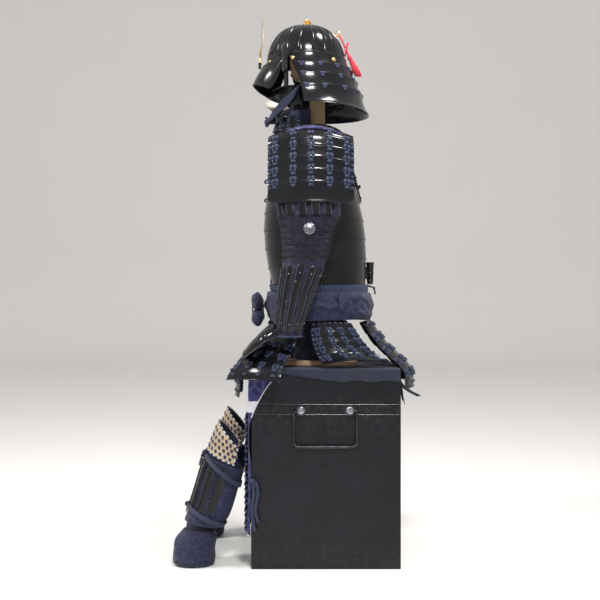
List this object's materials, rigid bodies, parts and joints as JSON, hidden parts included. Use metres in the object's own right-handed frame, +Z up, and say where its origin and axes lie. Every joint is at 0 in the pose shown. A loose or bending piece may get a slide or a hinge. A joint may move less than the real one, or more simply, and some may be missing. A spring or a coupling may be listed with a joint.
{
  "type": "samurai armour on its storage box",
  "caption": "Seated samurai armour of black lacquered plates laced in navy over brocade, worn open inside on a hidden stand, on its square lacquered storage box.",
  "frame": {"origin": "on the floor under the middle of the storage box", "axes": "+Z up, the armour faces -Y, its left side is +X"},
  "size_m": [0.5046, 0.678, 1.5263],
  "materials": {
    "box_lacquer": "satin black lacquer",
    "gilt": "gilt, polished",
    "handle_iron": "black iron",
    "lacquer": "glossy black lacquer on iron",
    "crimson_silk": "crimson silk cord",
    "hair": "cream horsehair",
    "navy_cloth": "navy brocade",
    "lacing": "slate-navy silk braid",
    "brocade": "purple-navy silk brocade",
    "leather": "tan leather, quilted",
    "stand_wood": "plain planed wood"
  },
  "bodies": {
    "armour": {"box_body": "box_lacquer", "box_lid": "box_lacquer", "helmet_finial": "gilt", "crest": "gilt", "handle_stud_rear_left": "gilt", "handle_stud_rear_right": "gilt", "handle_stud_front_left": "gilt", "handle_stud_front_right": "gilt", "helmet_bowl": "lacquer", "helmet_visor": "lacquer", "neck_lame_1": "lacquer", "neck_lame_2": "lacquer", "neck_lame_3": "lacquer", "neck_lame_4": "lacquer", "crest_holder": "lacquer", "mask": "lacquer", "throat_guard": "lacquer", "cuirass_front": "lacquer", "cuirass_back": "lacquer", "banner_plate": "lacquer", "banner_cup": "lacquer", "skirt_front": "lacquer", "turnback_left": "lacquer", "turnback_right": "lacquer", "shoulder_strap_left": "lacquer", "shoulder_strap_right": "lacquer", "skirt_front_side_left": "lacquer", "skirt_front_side_right": "lacquer", "skirt_side_left": "lacquer", "skirt_side_right": "lacquer", "skirt_rear_left": "lacquer", "skirt_rear_right": "lacquer", "shoulder_guard_left": "lacquer", "shoulder_guard_right": "lacquer", "hand_guard_left": "lacquer", "hand_guard_right": "lacquer", "thigh_plates_left": "lacquer", "thigh_plates_right": "lacquer", "tassel": "crimson_silk", "moustache": "hair", "chin_cord": "navy_cloth", "collar": "navy_cloth", "sash": "navy_cloth", "sash_knot": "navy_cloth", "seat_cloth": "navy_cloth", "cloth_tail": "navy_cloth", "foot_left": "navy_cloth", "foot_right": "navy_cloth", "waist_lacing": "lacing", "sleeve_left": "brocade", "sleeve_right": "brocade", "thigh_cloth_left": "brocade", "thigh_cloth_right": "brocade", "shin_wrap_left": "brocade", "shin_wrap_right": "brocade", "knee_guard_left": "leather", "knee_guard_right": "leather", "stand": "stand_wood"},
    "handle_left": {"handle_left": "handle_iron"},
    "handle_right": {"handle_right": "handle_iron"}
  },
  "joints": [
    {"name": "handle_left_swing", "type": "hinge", "parent": "armour", "child": "handle_left", "pos_m": [0.2085, 0, 0.424], "axis": [0, -1, 0], "range_deg": [0, 95]},
    {"name": "handle_right_swing", "type": "hinge", "parent": "armour", "child": "handle_right", "pos_m": [-0.2085, 0, 0.424], "axis": [0, 1, 0], "range_deg": [0, 95]}
  ]
}
